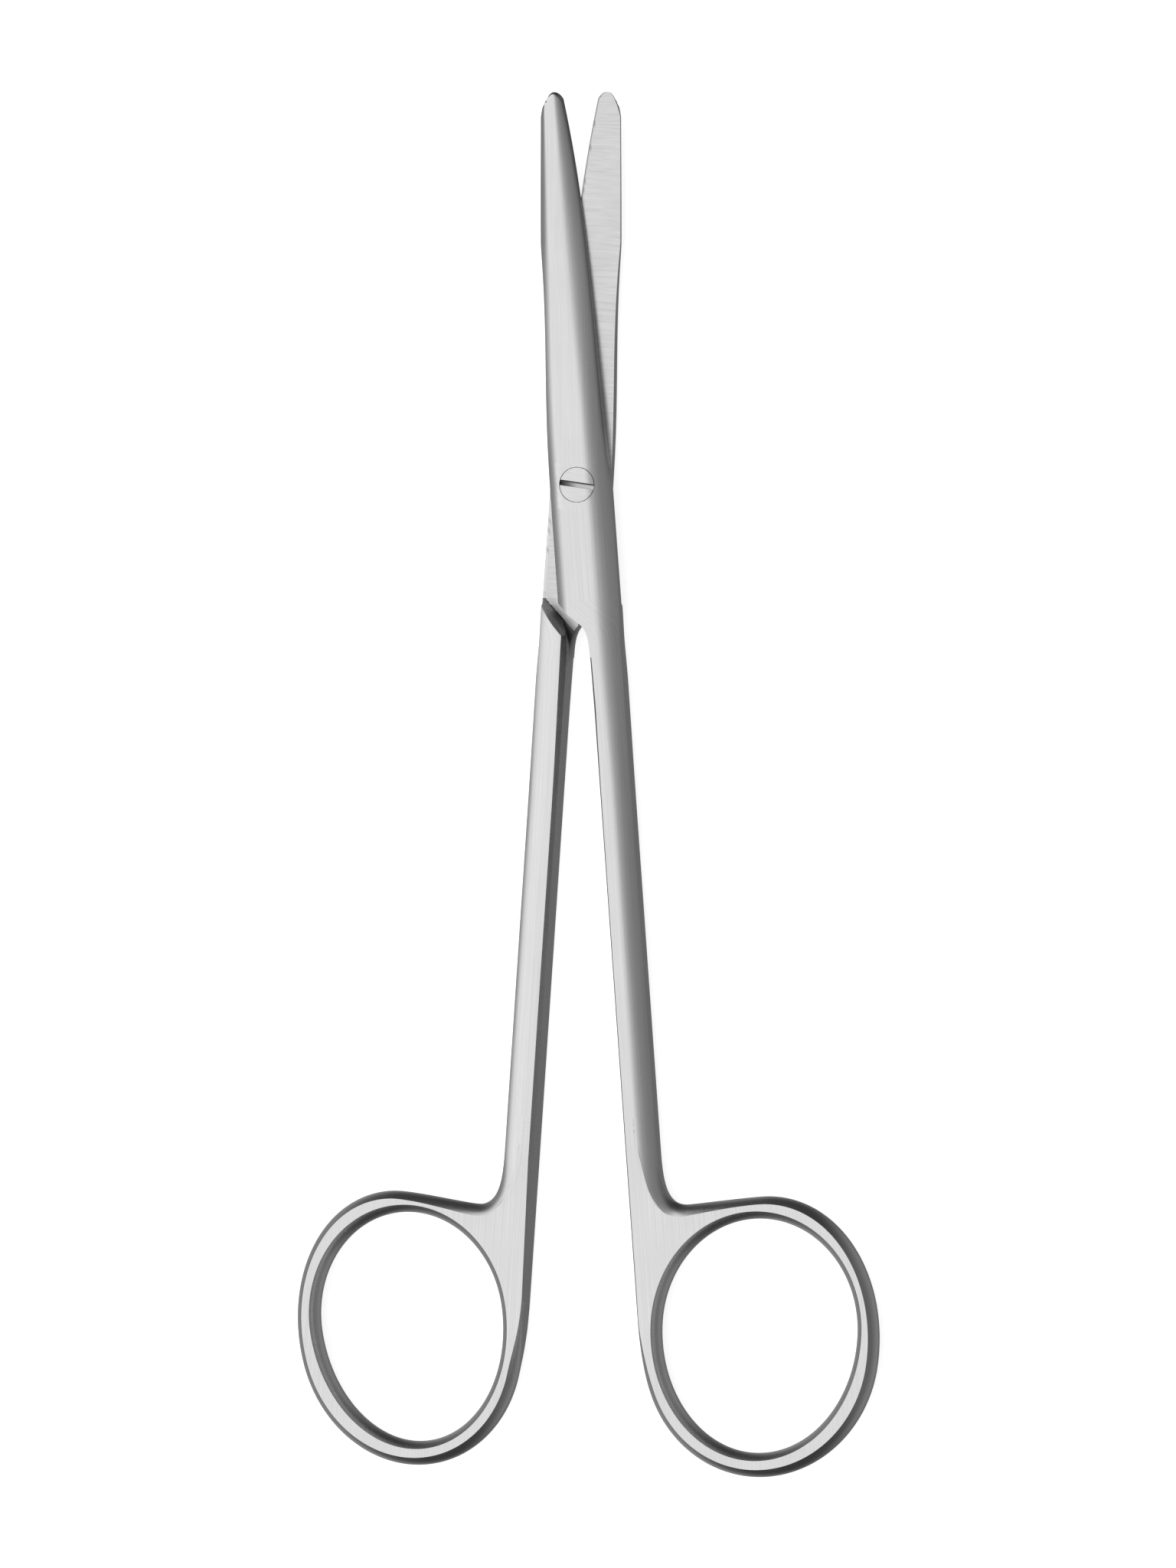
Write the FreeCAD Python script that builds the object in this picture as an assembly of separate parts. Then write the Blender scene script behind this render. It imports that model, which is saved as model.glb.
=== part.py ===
import FreeCAD
import Part
import math
import os
from collections import namedtuple

# Straight dissecting scissors with blunt tips, lying flat and slightly open. Millimetres.
# The two halves are single forgings, held by a slotted pivot screw.
# The origin is on the pivot axis, at the plane that the scissors lie on. +Y runs to the tips and +Z up.
# Each half is first made closed, in its own frame: its ring towards +X, the inner face of its blade at
# z = 0 and its crowned outer face above. The front half is that form turned open, and the back half is
# the same form turned over about +Y.

# How far the scissors are open, between the two halves, in degrees
opening = 8.1

# Lengths from the pivot axis
tip_reach = 41.0
edge_low_tip = 31.3
edge_middle_reach = 18.0
spine_bend = 22.0
joint_top = 5.0
joint_bottom = 12.0
shank_start = 17.2
crotch_end = 18.0
shank_middle = 34.4
notch_depth = 75.4

# Lengths from the notch between shank and ring, towards the pivot axis
crown_lead = 8.9
fillet_lead = 5.9
shank_lead = 4.9

# Lengths from the notch, towards the end of the ring
web_trail = 9.1
bevel_trail = 12.6
front_hole_drop = 13.45
back_hole_drop = 12.4

crown_end = notch_depth - crown_lead
fillet_start = notch_depth - fillet_lead
shank_end = notch_depth - shank_lead
web_inner_end = notch_depth + web_trail
bevel_end = notch_depth + bevel_trail

# Thickness of each half above the parting plane, and the gap between the inner faces
joint_thickness = 2.1
blade_mid_thickness = 1.55
tip_thickness = 1.0
shank_half_thickness = 1.85
ring_half_thickness = 1.8
lap_gap = 0.05

# Plan of the blade and joint, as distances from the centre line of the closed scissors
joint_half_width = 3.1
joint_outer = 3.38
edge_root_inset = 0.03
edge_mid = 2.7
edge_low = 2.0
edge_tip = 1.0
spine_mid = 2.36
spine_tip = 1.0
tip_round_edge = 0.75
tip_round_spine = 1.2
tip_centre = 0.1
tip_way_spine = (0.45, 1)
tip_way_edge = (0.55, -1)
joint_blend = 2.0

# Plan of the shank
shank_inner = 0.08
shank_outer = 3.22
upper_bevel_width = 0.1
upper_bevel_depth = 0.12
lower_bevel_width = 0.36
lower_bevel_depth = 0.6
crotch_offset = 0.62
crotch_way = (0.6, -0.72)
crotch_blend = 1.8
crotch_clearance = 0.18
relief_end = 18.6
relief_blend = 2.2

# Shoulder at the end of the lap joint
shoulder_angle = 44.0
shoulder_slope = 0.81
lap_end_angle = 42.6
lap_end_slope = 0.262
shoulder_clearance = 0.2

# Crowned outer face: the edges of the flat land, from the centre line
land_left_joint = 2.0
land_left_mid = 1.5
land_left_tip = 0.75
land_right_joint = 0.8
land_right_mid = 0.2
land_right_tip = 0.1
land_right_shank = 1.15
land_right_ring = 0.55

# Crowned outer face: the heights of the side walls above the parting plane
spine_wall_joint = 0.95
spine_wall_mid = 0.6
spine_wall_tip = 0.35
edge_wall_pivot = 0.63
edge_wall_mid = 0.4
edge_wall_tip = 0.21
outer_wall_joint = 0.9
outer_wall_shank = 0.75
outer_wall_ring = 0.1
crown_margin = 0.25
round_pole = 0.55
bevel_pole = 0.5
bevel_drop = 0.29

# Finger holes: centre, half width, and the reach above and below the centre along the leaning long axis
front_hole_centre = (12.65, -notch_depth - front_hole_drop)
front_hole_half_width = 10.45
front_hole_top = 11.5
front_hole_bottom = 12.8
front_hole_lean = 6.8
back_hole_centre = (12.25, -notch_depth - back_hole_drop)
back_hole_half_width = 9.8
back_hole_top = 11.05
back_hole_bottom = 12.9
back_hole_lean = 12.9

# Rims of the rings round the holes, the web between ring and shank
ring_drop = 1.95
rim_side = 2.05
rim_top = 2.4
rim_bottom = 2.55
rim_extra_lean = 5.8
rim_bevel = 0.8
rim_top_angle = 100.0
rim_top_blend = 2.2
rim_low_angle = -150.0
rim_low_blend = 3.2
web_inner_bevel = 0.08
web_blend = 4.0
notch_offset = 6.0
notch_way = (1, 0.03)
notch_blend = 2.0
notch_bevel_share = 1.1
fillet_reach = 2.6
fillet_notch_reach = 1.56
seam_step = 0.02
under_face = 0.04
bevel_over = 0.3
bevel_end_share = 0.05
hole_over = 1.2

# Pivot screw
head_radius = 1.8
head_rim = 0.8
journal_radius = 1.3
thread_radius = 1.15
screw_running_gap = 0.05
thread_gap = 0.015
slot_width = 0.58
slot_depth = 0.55
slot_turn = -8.5

parting = joint_thickness + lap_gap / 2
plate_start = -fillet_start + 1

Oval = namedtuple("Oval", "centre half_width top bottom lean")
front_hole = Oval(front_hole_centre, front_hole_half_width, front_hole_top, front_hole_bottom, front_hole_lean)
back_hole = Oval(back_hole_centre, back_hole_half_width, back_hole_top, back_hole_bottom, back_hole_lean)


def vec(x, y, z=0.0):
    return FreeCAD.Vector(x, y, z)


up = vec(0, 1)
down = vec(0, -1)


def line(a, b):
    return Part.makeLine(a, b)


def spline(points, start=None, end=None):
    curve = Part.BSplineCurve()
    if start is None:
        curve.interpolate(points)
    else:
        curve.interpolate(Points=points, InitialTangent=start, FinalTangent=end)
    return curve.toShape()


def bezier(poles):
    curve = Part.BezierCurve()
    curve.setPoles(poles)
    return curve.toShape()


def blade_plan():
    """Closed outline of the blade, lap joint and shank, seen from above."""
    tip_left = vec(-spine_tip, tip_reach - tip_round_spine)
    tip_right = vec(edge_tip, tip_reach - tip_round_edge)
    tip_top = vec(tip_centre, tip_reach)
    edge_root = vec(joint_outer - edge_root_inset, 0)
    joint_corner = vec(joint_outer, -joint_bottom)
    outer_top = vec(shank_outer, -shank_start)
    outer_end = vec(shank_outer, -shank_end - 1)
    inner_end = vec(shank_inner, -shank_end - 1)
    inner_top = vec(shank_inner, -crotch_end)
    crotch = vec(-crotch_offset, lap_end_y(-crotch_offset, parting))
    lap_corner = vec(-joint_half_width, -joint_bottom - 1)
    spine_root = vec(-joint_half_width, 0)
    edges = [
        spline([tip_right, vec(edge_low, edge_low_tip), vec(edge_mid, edge_middle_reach), edge_root]),
        line(edge_root, joint_corner),
        bezier([joint_corner, joint_corner + down * joint_blend, outer_top + up * joint_blend, outer_top]),
        line(outer_top, outer_end),
        line(outer_end, inner_end),
        line(inner_end, inner_top),
        bezier([inner_top, inner_top + up * crotch_blend, crotch + vec(*crotch_way), crotch]),
        line(crotch, lap_corner),
        line(lap_corner, spine_root),
        spline([spine_root, vec(-spine_mid, spine_bend), tip_left], up, vec(*tip_way_spine)),
        spline([tip_left, tip_top, tip_right], vec(*tip_way_spine), vec(*tip_way_edge)),
    ]
    return Part.Face(Part.Wire(edges))


def crown_section(y, left, land_left, land_right, right, top, left_wall, right_wall):
    """Section of the crowned stock: a flat land between a bevel and a round, down to the side walls."""
    base = lap_gap / 2
    points = [vec(left, y, base), vec(right, y, base), vec(right, y, right_wall), vec(land_right, y, top),
              vec(land_left, y, top), vec(left, y, left_wall)]
    round_knee = vec(land_right + round_pole * (right - land_right), y, top)
    reach = land_left - left
    bevel_knee = vec(land_left - bevel_pole * reach, y, top - bevel_drop * reach)
    edges = [
        line(points[0], points[1]),
        line(points[1], points[2]),
        bezier([points[2], round_knee, points[3]]),
        line(points[3], points[4]),
        bezier([points[4], bevel_knee, points[5]]),
        line(points[5], points[0]),
    ]
    return Part.Wire(edges)


def crown_stock():
    """Long solid whose upper face is the crowned outer face of a half, wider than its outline."""
    margin = crown_margin
    left_joint = -joint_half_width - margin
    right_joint = joint_outer + margin
    right_shank = shank_outer + margin
    sections = [
        crown_section(tip_reach + 1, -spine_tip - margin, -land_left_tip, land_right_tip, edge_tip + margin,
                      tip_thickness, spine_wall_tip, edge_wall_tip),
        crown_section(spine_bend, -spine_mid - margin, -land_left_mid, land_right_mid, edge_mid + margin,
                      blade_mid_thickness, spine_wall_mid, edge_wall_mid),
        crown_section(joint_top, left_joint, -land_left_joint, land_right_joint, right_joint,
                      parting, spine_wall_joint, edge_wall_pivot),
        crown_section(-joint_bottom, left_joint, -land_left_joint, land_right_joint, right_joint,
                      parting, spine_wall_joint, outer_wall_joint),
        crown_section(-shank_middle, left_joint, -land_left_joint, land_right_shank, right_shank,
                      shank_half_thickness, spine_wall_joint, outer_wall_shank),
        crown_section(-crown_end, left_joint, -land_left_joint, land_right_shank, right_shank,
                      shank_half_thickness, spine_wall_joint, outer_wall_shank),
        crown_section(-notch_depth, left_joint, -land_left_joint, land_right_ring, right_shank,
                      ring_half_thickness - under_face, spine_wall_joint, outer_wall_ring),
    ]
    return Part.makeLoft(sections, True, False)


def shoulder_wedge():
    """What the shoulder removes from the blade side of the shank's lower half, in the half's own frame."""
    slant = math.tan(math.radians(shoulder_angle))
    reach = 8.0
    depth = 3.0
    side = joint_outer + reach

    def outline(z, shift):
        start = -joint_bottom - shift
        corner = vec(side, start + (side - joint_half_width) * slant, z)
        return Part.makePolygon([
            corner,
            vec(-reach, start - (joint_half_width + reach) * slant, z),
            vec(-reach, tip_reach + reach, z),
            vec(side, tip_reach + reach, z),
            corner,
        ])

    return Part.makeLoft([outline(lap_gap / 2, 0), outline(-depth, shoulder_slope * depth)], True, True)


def lap_end_y(x, z):
    """Where the slanting end of the lap lies at a distance from the centre line and a height."""
    slant = math.tan(math.radians(lap_end_angle))
    return shoulder_clearance - joint_bottom - (joint_half_width + x) * slant - lap_end_slope * z


def lap_end_wedge():
    """What the slanting end of the lap removes from the crotch side of the blade half."""
    outer = -3 * joint_half_width
    below = -joint_bottom - 8
    height = 2 * parting

    def outline(z):
        corner = vec(outer, lap_end_y(outer, z), z)
        return Part.makePolygon([
            corner,
            vec(-crotch_offset, lap_end_y(-crotch_offset, z), z),
            vec(-crotch_offset, below, z),
            vec(outer, below, z),
            corner,
        ])

    return Part.makeLoft([outline(0), outline(height)], True, True)


def on_oval(oval, angle):
    """Point of an egg-shaped oval at an angle from its right side, and the direction of travel there."""
    a = math.radians(angle)
    reach = oval.top if math.sin(a) > 0 else oval.bottom
    lean = FreeCAD.Rotation(vec(0, 0, 1), -oval.lean)
    point = lean.multVec(vec(oval.half_width * math.cos(a), reach * math.sin(a)))
    travel = lean.multVec(vec(-oval.half_width * math.sin(a), reach * math.cos(a)))
    return point + vec(*oval.centre), travel.normalize()


def oval_arc(oval, start, end):
    """Part of the oval between two angles on the same side of its width."""
    reach = oval.top if end + start > 0 else oval.bottom
    arc = Part.makeCircle(1, vec(0, 0), vec(0, 0, 1), start, end)
    stretch = FreeCAD.Matrix()
    stretch.scale(oval.half_width, reach, 1)
    arc = arc.transformGeometry(stretch)
    arc.rotate(vec(0, 0), vec(0, 0, 1), -oval.lean)
    arc.translate(vec(*oval.centre))
    return arc


def grown(oval, side, top, bottom, drop=0.0, lean=0.0):
    """The oval with its half width and reaches changed, its centre lowered and its lean increased."""
    centre = (oval.centre[0], oval.centre[1] - drop)
    return Oval(centre, oval.half_width + side, oval.top + top, oval.bottom + bottom, oval.lean + lean)


def ring_outline(hole, inset, inner_inset, z):
    """Outline of ring, web and shank end at one height: pulled in by inset, and by less at the inner side."""
    rim = grown(hole, rim_side - inset, rim_top + ring_drop - inset, rim_bottom - ring_drop - inset,
                ring_drop, rim_extra_lean)
    ring_top, top_travel = on_oval(rim, rim_top_angle)
    ring_low, low_travel = on_oval(rim, rim_low_angle)
    outer = shank_outer - seam_step - inset * (shank_outer - land_right_shank) / rim_bevel
    inner = shank_inner + seam_step + inner_inset
    outer_start = vec(outer, plate_start)
    fillet_top = vec(outer, -fillet_start)
    notch = vec(notch_offset, -notch_depth - inset * notch_bevel_share)
    notch_travel = vec(*notch_way)
    web_low = vec(inner, -web_inner_end)
    edges = [
        line(vec(inner, plate_start), outer_start),
        line(outer_start, fillet_top),
        bezier([fillet_top, fillet_top + down * (fillet_reach + inset),
                notch - notch_travel * fillet_notch_reach, notch]),
        bezier([notch, notch + notch_travel * notch_blend, ring_top + top_travel * rim_top_blend, ring_top]),
        oval_arc(rim, 0, rim_top_angle),
        oval_arc(rim, rim_low_angle, 0),
        bezier([ring_low, ring_low - low_travel * rim_low_blend, web_low + down * web_blend, web_low]),
        line(web_low, vec(inner, plate_start)),
    ]
    wire = Part.Wire(edges)
    wire.translate(vec(0, 0, z))
    return wire


def ring_hole(hole):
    """Cutter for the finger hole: narrowest at mid height, wider by the rim's bevel at both faces."""
    wires = []
    for level in (-hole_over, -hole_over / 2, 0, hole_over / 2, hole_over):
        grow = rim_bevel * level * level
        oval = grown(hole, grow, grow, grow)
        wire = Part.Wire([oval_arc(oval, 0, 180), oval_arc(oval, -180, 0)])
        wire.translate(vec(0, 0, level * ring_half_thickness))
        wires.append(wire)
    return Part.makeLoft(wires, True, False)


def finger_ring(hole):
    """Ring, web and the end of the shank, with flat faces and barrel-shaped sides."""
    wires = []
    for level in (-1, 0, 1):
        inset = rim_bevel * level * level
        inner_inset = web_inner_bevel * level * level
        wires.append(ring_outline(hole, inset, inner_inset, level * ring_half_thickness))
    return Part.makeLoft(wires, True, False).cut(ring_hole(hole))


def crotch_relief():
    """What makes room on the shoulder side for the other half's crotch when the scissors are closed."""
    side = crotch_offset + crotch_clearance
    crotch = vec(side, lap_end_y(-crotch_offset, parting))
    top = crotch + up
    low = vec(shank_inner, -relief_end)
    far = vec(-3 * crotch_offset, 0)
    edges = [
        line(top, crotch),
        bezier([crotch, crotch + vec(-crotch_way[0], crotch_way[1]), low + up * relief_blend, low]),
        line(low, low + far),
        line(low + far, top + far * 2),
        line(top + far * 2, top),
    ]
    relief = Part.Face(Part.Wire(edges)).extrude(vec(0, 0, -2 * parting))
    relief.translate(vec(0, 0, lap_gap / 2))
    return relief


def inner_edge_bevel(side, width, depth, start):
    """Cutter for a bevel along the straight inner side of the shank, running out along the web."""
    top = side * shank_half_thickness

    def corner(y, share):
        x = shank_inner - bevel_over
        z = top + side * bevel_over
        slope = depth / width
        return Part.makePolygon([
            vec(x, y, z),
            vec(shank_inner + width * share + bevel_over / slope, y, z),
            vec(x, y, top - side * (depth * share + bevel_over * slope)),
            vec(x, y, z),
        ])

    sections = [corner(start, 1), corner(-shank_end, 1), corner(-bevel_end, bevel_end_share)]
    return Part.makeLoft(sections, True, True)


def screw_profile(gap, top, bottom):
    """Round solid about the pivot axis: countersunk head, journal and thread, between two heights."""
    head = head_radius + gap
    journal = journal_radius + gap
    rim_low = joint_thickness - head_rim
    cone_low = rim_low - (head - journal)
    points = [
        vec(0, 0, bottom), vec(thread_radius, 0, bottom), vec(thread_radius, 0, -lap_gap / 2),
        vec(journal, 0, -lap_gap / 2), vec(journal, 0, cone_low), vec(head, 0, rim_low), vec(head, 0, top),
        vec(0, 0, top), vec(0, 0, bottom),
    ]
    return Part.Face(Part.makePolygon(points)).revolve(vec(0, 0), vec(0, 0, 1), 360)


def pivot_screw():
    """Slotted pivot screw, its head crowned with the front half and its end ground flush at the back."""
    screw = screw_profile(0, joint_thickness + 1, -parting)
    screw = screw.common(crown_cap())
    slot_length = 3 * head_radius
    slot = Part.makeBox(slot_length, slot_width, parting)
    slot.translate(vec(-slot_length / 2, -slot_width / 2, parting - slot_depth))
    slot.rotate(vec(0, 0), vec(0, 0, 1), slot_turn)
    return screw.cut(slot).removeSplitter()


def crown_cap():
    """Crowned stock of the front half round the pivot, in place, joined with all that lies below it."""
    side = 6 * head_radius
    stock = crown_stock()
    stock.rotate(vec(0, 0), vec(0, 0, 1), opening / 2)
    below = Part.makeBox(side, side, parting + spine_wall_mid)
    below.translate(vec(-side / 2, -side / 2, -parting))
    return stock.fuse(below)


def half(hole):
    """One closed half in its own frame, without its screw holes."""
    plan = blade_plan()
    stock = crown_stock()
    height = vec(0, 0, 2 * parting)
    upper = plan.extrude(height).common(stock).cut(lap_end_wedge())
    under = plan.extrude(-height)
    under.translate(vec(0, 0, lap_gap / 2))
    under_stock = stock.mirror(vec(0, 0, lap_gap / 2), vec(0, 0, 1))
    under = under.common(under_stock).cut([shoulder_wedge(), crotch_relief()])
    body = upper.fuse([under, finger_ring(hole)]).removeSplitter()
    bevels = [inner_edge_bevel(1, upper_bevel_width, upper_bevel_depth, -crotch_end),
              inner_edge_bevel(-1, lower_bevel_width, lower_bevel_depth, -joint_bottom - 2)]
    return body.cut(bevels)


def main():
    os.makedirs("parts", exist_ok=True)
    front = half(front_hole).cut(screw_profile(screw_running_gap, joint_thickness + 1, -0.5))
    tapped_hole = Part.makeCylinder(thread_radius + thread_gap, 2 * parting, vec(0, 0, -1.5 * parting))
    back = half(back_hole)
    back.rotate(vec(0, 0), vec(0, 1, 0), 180)
    back = back.cut(tapped_hole)
    front.rotate(vec(0, 0), vec(0, 0, 1), opening / 2)
    back.rotate(vec(0, 0), vec(0, 0, 1), -opening / 2)
    for shape, name in ((front, "front_half"), (back, "back_half"), (pivot_screw(), "pivot_screw")):
        shape.translate(vec(0, 0, parting))
        shape.exportStep("parts/" + name + ".step")


main()
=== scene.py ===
"""Straight dissecting scissors with blunt tips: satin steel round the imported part, studio and camera.

Lengths are in millimetres and angles in degrees, and MM turns a length into metres where a mesh, the floor
or the camera is made. Each half is worked out closed, in its own frame: the pivot axis is x = y = 0, the
tips lie towards +y, the ring towards +x, the inner face of the blade is at z = 0 and its crowned outer
face above. Then it is turned into its place, the back half turned over.
"""
import math
from collections import namedtuple

import bmesh
import bpy
import numpy as np
from mathutils import Matrix, Vector


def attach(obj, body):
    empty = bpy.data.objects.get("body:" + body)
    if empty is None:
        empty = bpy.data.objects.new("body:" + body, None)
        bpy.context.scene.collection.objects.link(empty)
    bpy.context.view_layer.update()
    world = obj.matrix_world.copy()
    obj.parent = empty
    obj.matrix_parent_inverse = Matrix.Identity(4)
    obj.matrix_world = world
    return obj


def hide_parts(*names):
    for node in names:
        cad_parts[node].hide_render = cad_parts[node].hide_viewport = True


MM = 0.001

# How far the scissors are open, and the height of the plane between the halves
OPENING = 8.1
PARTING = 2.125

# Lengths from the pivot axis
TIP_REACH = 41.0
EDGE_LOW_TIP = 31.3
EDGE_MIDDLE = 18.0
SPINE_MIDDLE = 22.0
LAP_END = 11.8
SHOULDER = 12.0
SHANK_TOP = 17.2
CROTCH_END = 18.0
RELIEF_END = 18.6
SHANK_END = 66.0
BEVEL_END = 88.0

# Distances of the outline from the centre line of the closed scissors
EDGE_ROOT = 3.35
JOINT_OUTER = 3.38
JOINT_SPINE = 3.1
EDGE_AT_MIDDLE = 2.7
EDGE_AT_LOW_TIP = 2.0
EDGE_AT_TIP = 1.0
SPINE_AT_MIDDLE = 2.36
SPINE_AT_TIP = 1.0
TIP_CENTRE = 0.1
SHANK_INNER = 0.08
SHANK_OUTER = 3.22
CROTCH_OFFSET = 0.62

# Rounds of the outline: how far the tip's falls at each side, its ways there, and leads into the others
TIP_ROUND_EDGE = 0.75
TIP_ROUND_SPINE = 1.2
TIP_WAY_SPINE = (0.45, 1.0)
TIP_WAY_EDGE = (0.55, -1.0)
JOINT_BLEND = 2.0
CROTCH_WAY = (0.6, -0.72)
CROTCH_BLEND = 1.8
CROTCH_CLEARANCE = 0.18
RELIEF_BLEND = 2.2

# Round-over of the tip: how far it reaches, and the share of the height that is left at its end
TIP_OVER = 0.5
TIP_LEFT_HIGH = 0.35

# Height of the inner face over the plane between the halves
BASE = 0.025

# Thickness of the shank's half, and width and depth of the bevels along its inner side
SHANK_THICK = 1.85
UPPER_BEVEL = (0.15, 0.2)
LOWER_BEVEL = (0.36, 0.6)
LOWER_BEVEL_START = 14.0
UPPER_BEVEL_GROWTH = 5.0
UPPER_BEVEL_RUN_OUT = 3.0
LOWER_BEVEL_RUN_OUT = 17.5

# Shoulder and lap end: angle across the joint, and how far each goes along it for a mm of height
SHOULDER_ANGLE = 44.0
SHOULDER_SLOPE = 0.64
SHOULDER_SLANT = math.tan(math.radians(SHOULDER_ANGLE))
LAP_ANGLE = 42.6
LAP_SLOPE = 0.262
LAP_SLANT = math.tan(math.radians(LAP_ANGLE))

# The lower layer's outer side at the shoulder is set in, growing from a place below the joint
SHOULDER_INSET = 0.25
INSET_START = 20.2
INSET_GROWTH = 8.0

# Painted shade, from 0 to 1, where the steel lies in shade: pocket at the shoulder, strip before it, the
# shoulder's face, cutting edge
PAINTED_SHADE_MOST = 0.95
# Grey that the painted shade darkens the steel to
PAINTED_SHADE_GREY = 0.03
# Painted shade in the pocket at the shoulder and on the strip before it
POCKET_START = 9.0
POCKET_EDGE = 0.1
POCKET_FADE = 2.5
STRIP_PAINTED_SHADE = 0.72
STRIP_WIDTH = 0.8
STRIP_GROWTH = 1.4
# Painted shade on the shoulder's face, which lies turned away from the light
SHOULDER_PAINTED_SHADE = 0.4
SHOULDER_SHADE_END = 20.6
SHOULDER_SHADE_FADE = 3.0
# Painted shadow along the cutting edge, growing in along the blade
EDGE_PAINTED_SHADOW = 0.7
EDGE_SHADOW_WIDTH = 0.5
EDGE_SHADOW_GROWTH = 6.0

# Crowned face, at stations along the shank, joint and blade
Crown = namedtuple("Crown", "y land_left land_right top left_reach right_reach left_wall right_wall")
CROWN = Crown(
    y=np.array([-66.5, -34.4, -12.0, 5.0, 22.0, 42.0]),
    land_left=np.array([-2.0, -2.0, -2.0, -2.0, -1.5, -0.75]),
    land_right=np.array([1.15, 1.15, 0.8, 0.8, 0.2, 0.1]),
    top=np.array([1.85, 1.85, 2.125, 2.125, 1.55, 1.0]),
    left_reach=np.array([3.35, 3.35, 3.35, 3.35, 2.61, 1.25]),
    right_reach=np.array([3.47, 3.47, 3.63, 3.63, 2.95, 1.25]),
    left_wall=np.array([0.95, 0.95, 0.95, 0.95, 0.6, 0.35]),
    right_wall=np.array([0.75, 0.75, 0.9, 0.63, 0.4, 0.21]),
)
BEVEL_DROP = 0.29
ROUND_POLE = 0.55

# Finger rings: the holes, and how the rim lies round them
Oval = namedtuple("Oval", "x y half_width top bottom lean")
FRONT_HOLE = Oval(12.65, -88.85, 10.45, 11.5, 12.8, 6.8)
BACK_HOLE = Oval(12.25, -87.8, 9.8, 11.05, 12.9, 12.9)
RING_DROP = 1.95
RIM_SIDE = 2.046
RIM_TOP = 2.4
RIM_BOTTOM = 2.55
RIM_LEAN = 5.8
RIM_BEVEL = 0.8
RING_FACE = 1.8

# Outline from shank to ring: where the rim starts and ends, the fillet and the web, and the curves' leads
RIM_TOP_ANGLE = 100.0
RIM_LOW_ANGLE = -150.0
RIM_TOP_LEAD = 2.2
RIM_LOW_LEAD = 3.2
FILLET_START = 69.5
FILLET_REACH = 3.7
NOTCH = (6.0, -75.4)
NOTCH_WAY = (1.0, 0.03)
NOTCH_LEAD = 2.0
NOTCH_SHARE = 0.6
NOTCH_ROUND = 0.3
WEB_LOW = 84.5
WEB_LEAD = 4.0
BORE_FIRST_BEARING = 150.0
BORE_LAST_BEARING = -210.0

# Pivot screw
HEAD_RADIUS = 1.8
HEAD_RIM = 0.8
JOURNAL_RADIUS = 1.3
THREAD_RADIUS = 1.15
RUNNING_GAP = 0.05
HEAD_GAP = 0.065
THREAD_GAP = 0.015

# Its slot, and the painted shade in it: everywhere, towards the left end, and a painted shadow at the upper
# wall
SLOT_WIDTH = 0.58
SLOT_DEPTH = 0.55
SLOT_TURN = -8.5
SLOT_RISE = 0.32
SLOT_ROUND = 0.11
SLOT_MIDDLE = 0.1
SLOT_PAINTED_SHADE = 0.3
SLOT_SHADE_LEFT = 0.75
SLOT_SHADOW_WALL = 0.85
SLOT_SHADOW_REACH = 0.5

# Finishes of steel. Streaks have a count to a mm along the grain, one across it, and a depth
Finish = namedtuple("Finish", "shade contrast roughness along across depth")
SATIN = Finish(shade=0.66, contrast=0.05, roughness=0.27, along=0.05, across=6.0, depth=0.0015)
CROSS_GROUND = Finish(shade=0.62, contrast=0.09, roughness=0.3, along=4.5, across=0.25, depth=0.003)
# Bore walls near black: painted shade that shows in the narrow gaps round the screw
PAINTED_SHADE_BORE = Finish(shade=0.12, contrast=0.05, roughness=0.35, along=1.0, across=6.0, depth=0.003)
SCREW_HEAD = Finish(shade=0.66, contrast=0.05, roughness=0.27, along=0.3, across=5.0, depth=0.0015)
CLOUDS_TO_A_MM = 0.25
CLOUD_CONTRAST = 0.08
NOISE_RANGE = (0.33, 0.67)

# Places of the finishes in a half's list of materials
OUTSIDE, INNER_FACE, BORE = 0, 1, 2

# Floor
FLOOR_HALF = 1500
FLOOR_DROP = 0.05
FLOOR_SHADE = 0.9
FLOOR_ROUGHNESS = 0.9
FLOOR_SPECULAR = 0.1
FLOOR_GLOW = 0.75

# Surround: its brightness, what is left of it low down at the ends, and where it fades to that
SKY_BRIGHTNESS = 1.3
SKY_ENDS = 0.03
SKY_END_FADE = (0.45, 0.95)
SKY_LOW_FADE = (0.35, 0.1)
SEEN_BRIGHTNESS = 1.0

# Brightness of the surround by the bearing across the scissors: 0 is straight up, 90 level to the right
SKY = (
    (-180, 0.14), (-150, 0.3), (-125, 0.22), (-108, 0.18), (-92, 0.24), (-79, 0.76), (-64, 0.88),
    (-14, 0.88), (-4, 0.76), (8, 0.43), (25, 0.29), (45, 0.21), (65, 0.2), (80, 0.11), (95, 0.11),
    (108, 0.16), (136, 0.24), (160, 0.13), (180, 0.14),
)

# Camera
CAMERA_TILT = 14.0
CAMERA_ROLL = 0.0019
CAMERA_TARGET = (0.63, -31.1, PARTING)
VIEW_HEIGHT = 163.1
LENS = 400.0
SENSOR = 36.0
CLIP_START = 0.05
CLIP_END = 20

# Counts of points along the outlines, across the faces and on the screw
EDGE_POINTS = 90
RIM_POINTS = 400
ROLL_STEPS = 14
LAND_STEPS = 5
SHOULDER_STEPS = 6
BORE_ROWS = 6
FACE_ROWS = 7
HEAD_SECTIONS = 61
HEAD_STEPS = 8
SLOT_STEPS = 11
STEM_STEPS = 72

# Half the side of the square of surface made round a bore, and the spacing of points along the ring
BORE_BLOCK = 2.45
PATH_STEP = 0.3

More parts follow.
